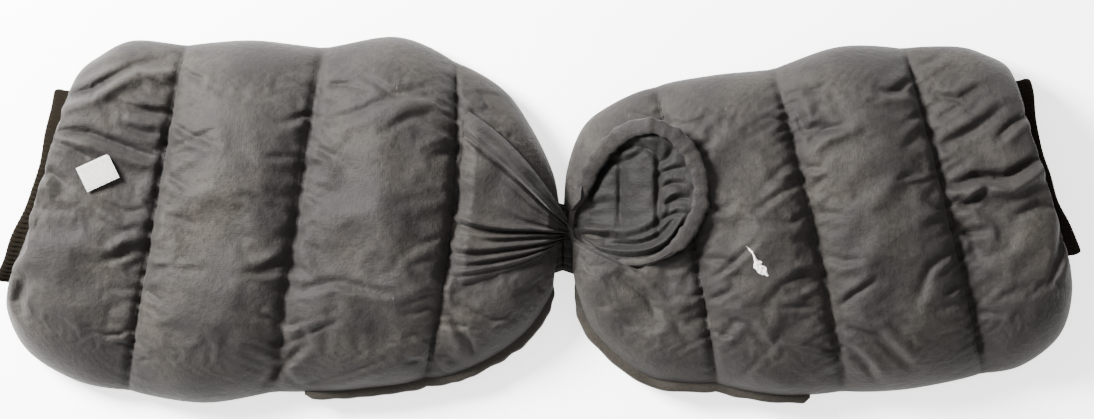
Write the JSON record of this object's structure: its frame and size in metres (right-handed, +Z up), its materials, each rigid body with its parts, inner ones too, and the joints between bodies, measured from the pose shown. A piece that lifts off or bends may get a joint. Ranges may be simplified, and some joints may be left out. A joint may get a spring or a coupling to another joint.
{
  "type": "handlebar hand muff pair",
  "caption": "Pair of padded quilted hand muffs lying flat, joined at a gathered waist with a keeper, elastic cuffs at the outer ends, bound flaps and a rounded closing tongue.",
  "frame": {"origin": "middle of the bounding box on the plane the muffs lie on", "axes": "+X along the handlebar from the left muff to the right one, +Y across the muffs away from the bound flaps, +Z up, out of the quilted front"},
  "size_m": [0.6484, 0.219, 0.0631],
  "materials": {
    "binding_tape": "folded woven tape, charcoal",
    "fleece_lining": "short-pile fleece, near black",
    "hook_tape": "hook side of hook-and-loop tape",
    "label_patch": "soft printed rubber patch, plain white",
    "loop_tape": "loop side of hook-and-loop tape",
    "rib_elastic": "ribbed knitted elastic, brown black",
    "shell_fabric": "fine plain-weave nylon, charcoal, low sheen",
    "thread": "polyester sewing thread",
    "wadding": "loose polyester wadding",
    "webbing": "narrow woven webbing"
  },
  "bodies": {
    "left_pod": {"left_back_binding": "binding_tape", "left_back_cover": "shell_fabric", "left_back_lining": "fleece_lining", "left_back_loop_tape": "loop_tape", "left_back_padding": "wadding", "left_cuff_elastic": "rib_elastic", "left_front_cover": "shell_fabric", "left_front_lining": "fleece_lining", "left_front_padding": "wadding", "left_quilting_stitches": "thread", "label_tag": "label_patch", "strap_cover": "shell_fabric", "strap_padding": "wadding"},
    "waist": {"waist_keeper_loop": "rib_elastic", "waist_webbing": "webbing", "strap_neck": "shell_fabric"},
    "right_pod": {"right_back_binding": "binding_tape", "right_back_cover": "shell_fabric", "right_back_lining": "fleece_lining", "right_back_loop_tape": "loop_tape", "right_back_padding": "wadding", "right_cuff_elastic": "rib_elastic", "right_front_cover": "shell_fabric", "right_front_lining": "fleece_lining", "right_front_padding": "wadding", "right_loop_patch": "loop_tape", "right_quilting_stitches": "thread"},
    "tongue": {"tongue_backing": "fleece_lining", "tongue_binding": "binding_tape", "tongue_cover": "shell_fabric", "tongue_hook_patch": "hook_tape", "tongue_padding": "wadding"},
    "left_flap": {"left_flap_binding": "binding_tape", "left_flap_cover": "shell_fabric", "left_flap_hook_tape": "hook_tape", "left_flap_lining": "fleece_lining", "left_flap_padding": "wadding", "left_flap_stitches": "thread"},
    "right_flap": {"right_flap_binding": "binding_tape", "right_flap_cover": "shell_fabric", "right_flap_hook_tape": "hook_tape", "right_flap_lining": "fleece_lining", "right_flap_padding": "wadding", "right_flap_stitches": "thread"}
  },
  "joints": [
    {"name": "waist_swing", "type": "hinge", "parent": "left_pod", "child": "waist", "pos_m": [0.01477, -0.00917, 0.014], "axis": [0, 0, 1], "range_deg": [-8, 8]},
    {"name": "waist_fold", "type": "hinge", "parent": "waist", "child": "right_pod", "pos_m": [0.01477, -0.00917, 0.014], "axis": [0, -1, 0], "range_deg": [0, 60]},
    {"name": "tongue_peel", "type": "hinge", "parent": "right_pod", "child": "tongue", "pos_m": [0.02909, -0.00519, 0.02], "axis": [0.2079, -0.9781, 0], "range_deg": [0, 50]},
    {"name": "left_flap_open", "type": "hinge", "parent": "left_pod", "child": "left_flap", "pos_m": [-0.07527, -0.06299, 0.031], "axis": [-0.877, -0.4804, 0], "range_deg": [0, 60]},
    {"name": "right_flap_open", "type": "hinge", "parent": "right_pod", "child": "right_flap", "pos_m": [0.10274, -0.06314, 0.031], "axis": [-0.8707, 0.4917, 0], "range_deg": [0, 60]}
  ]
}
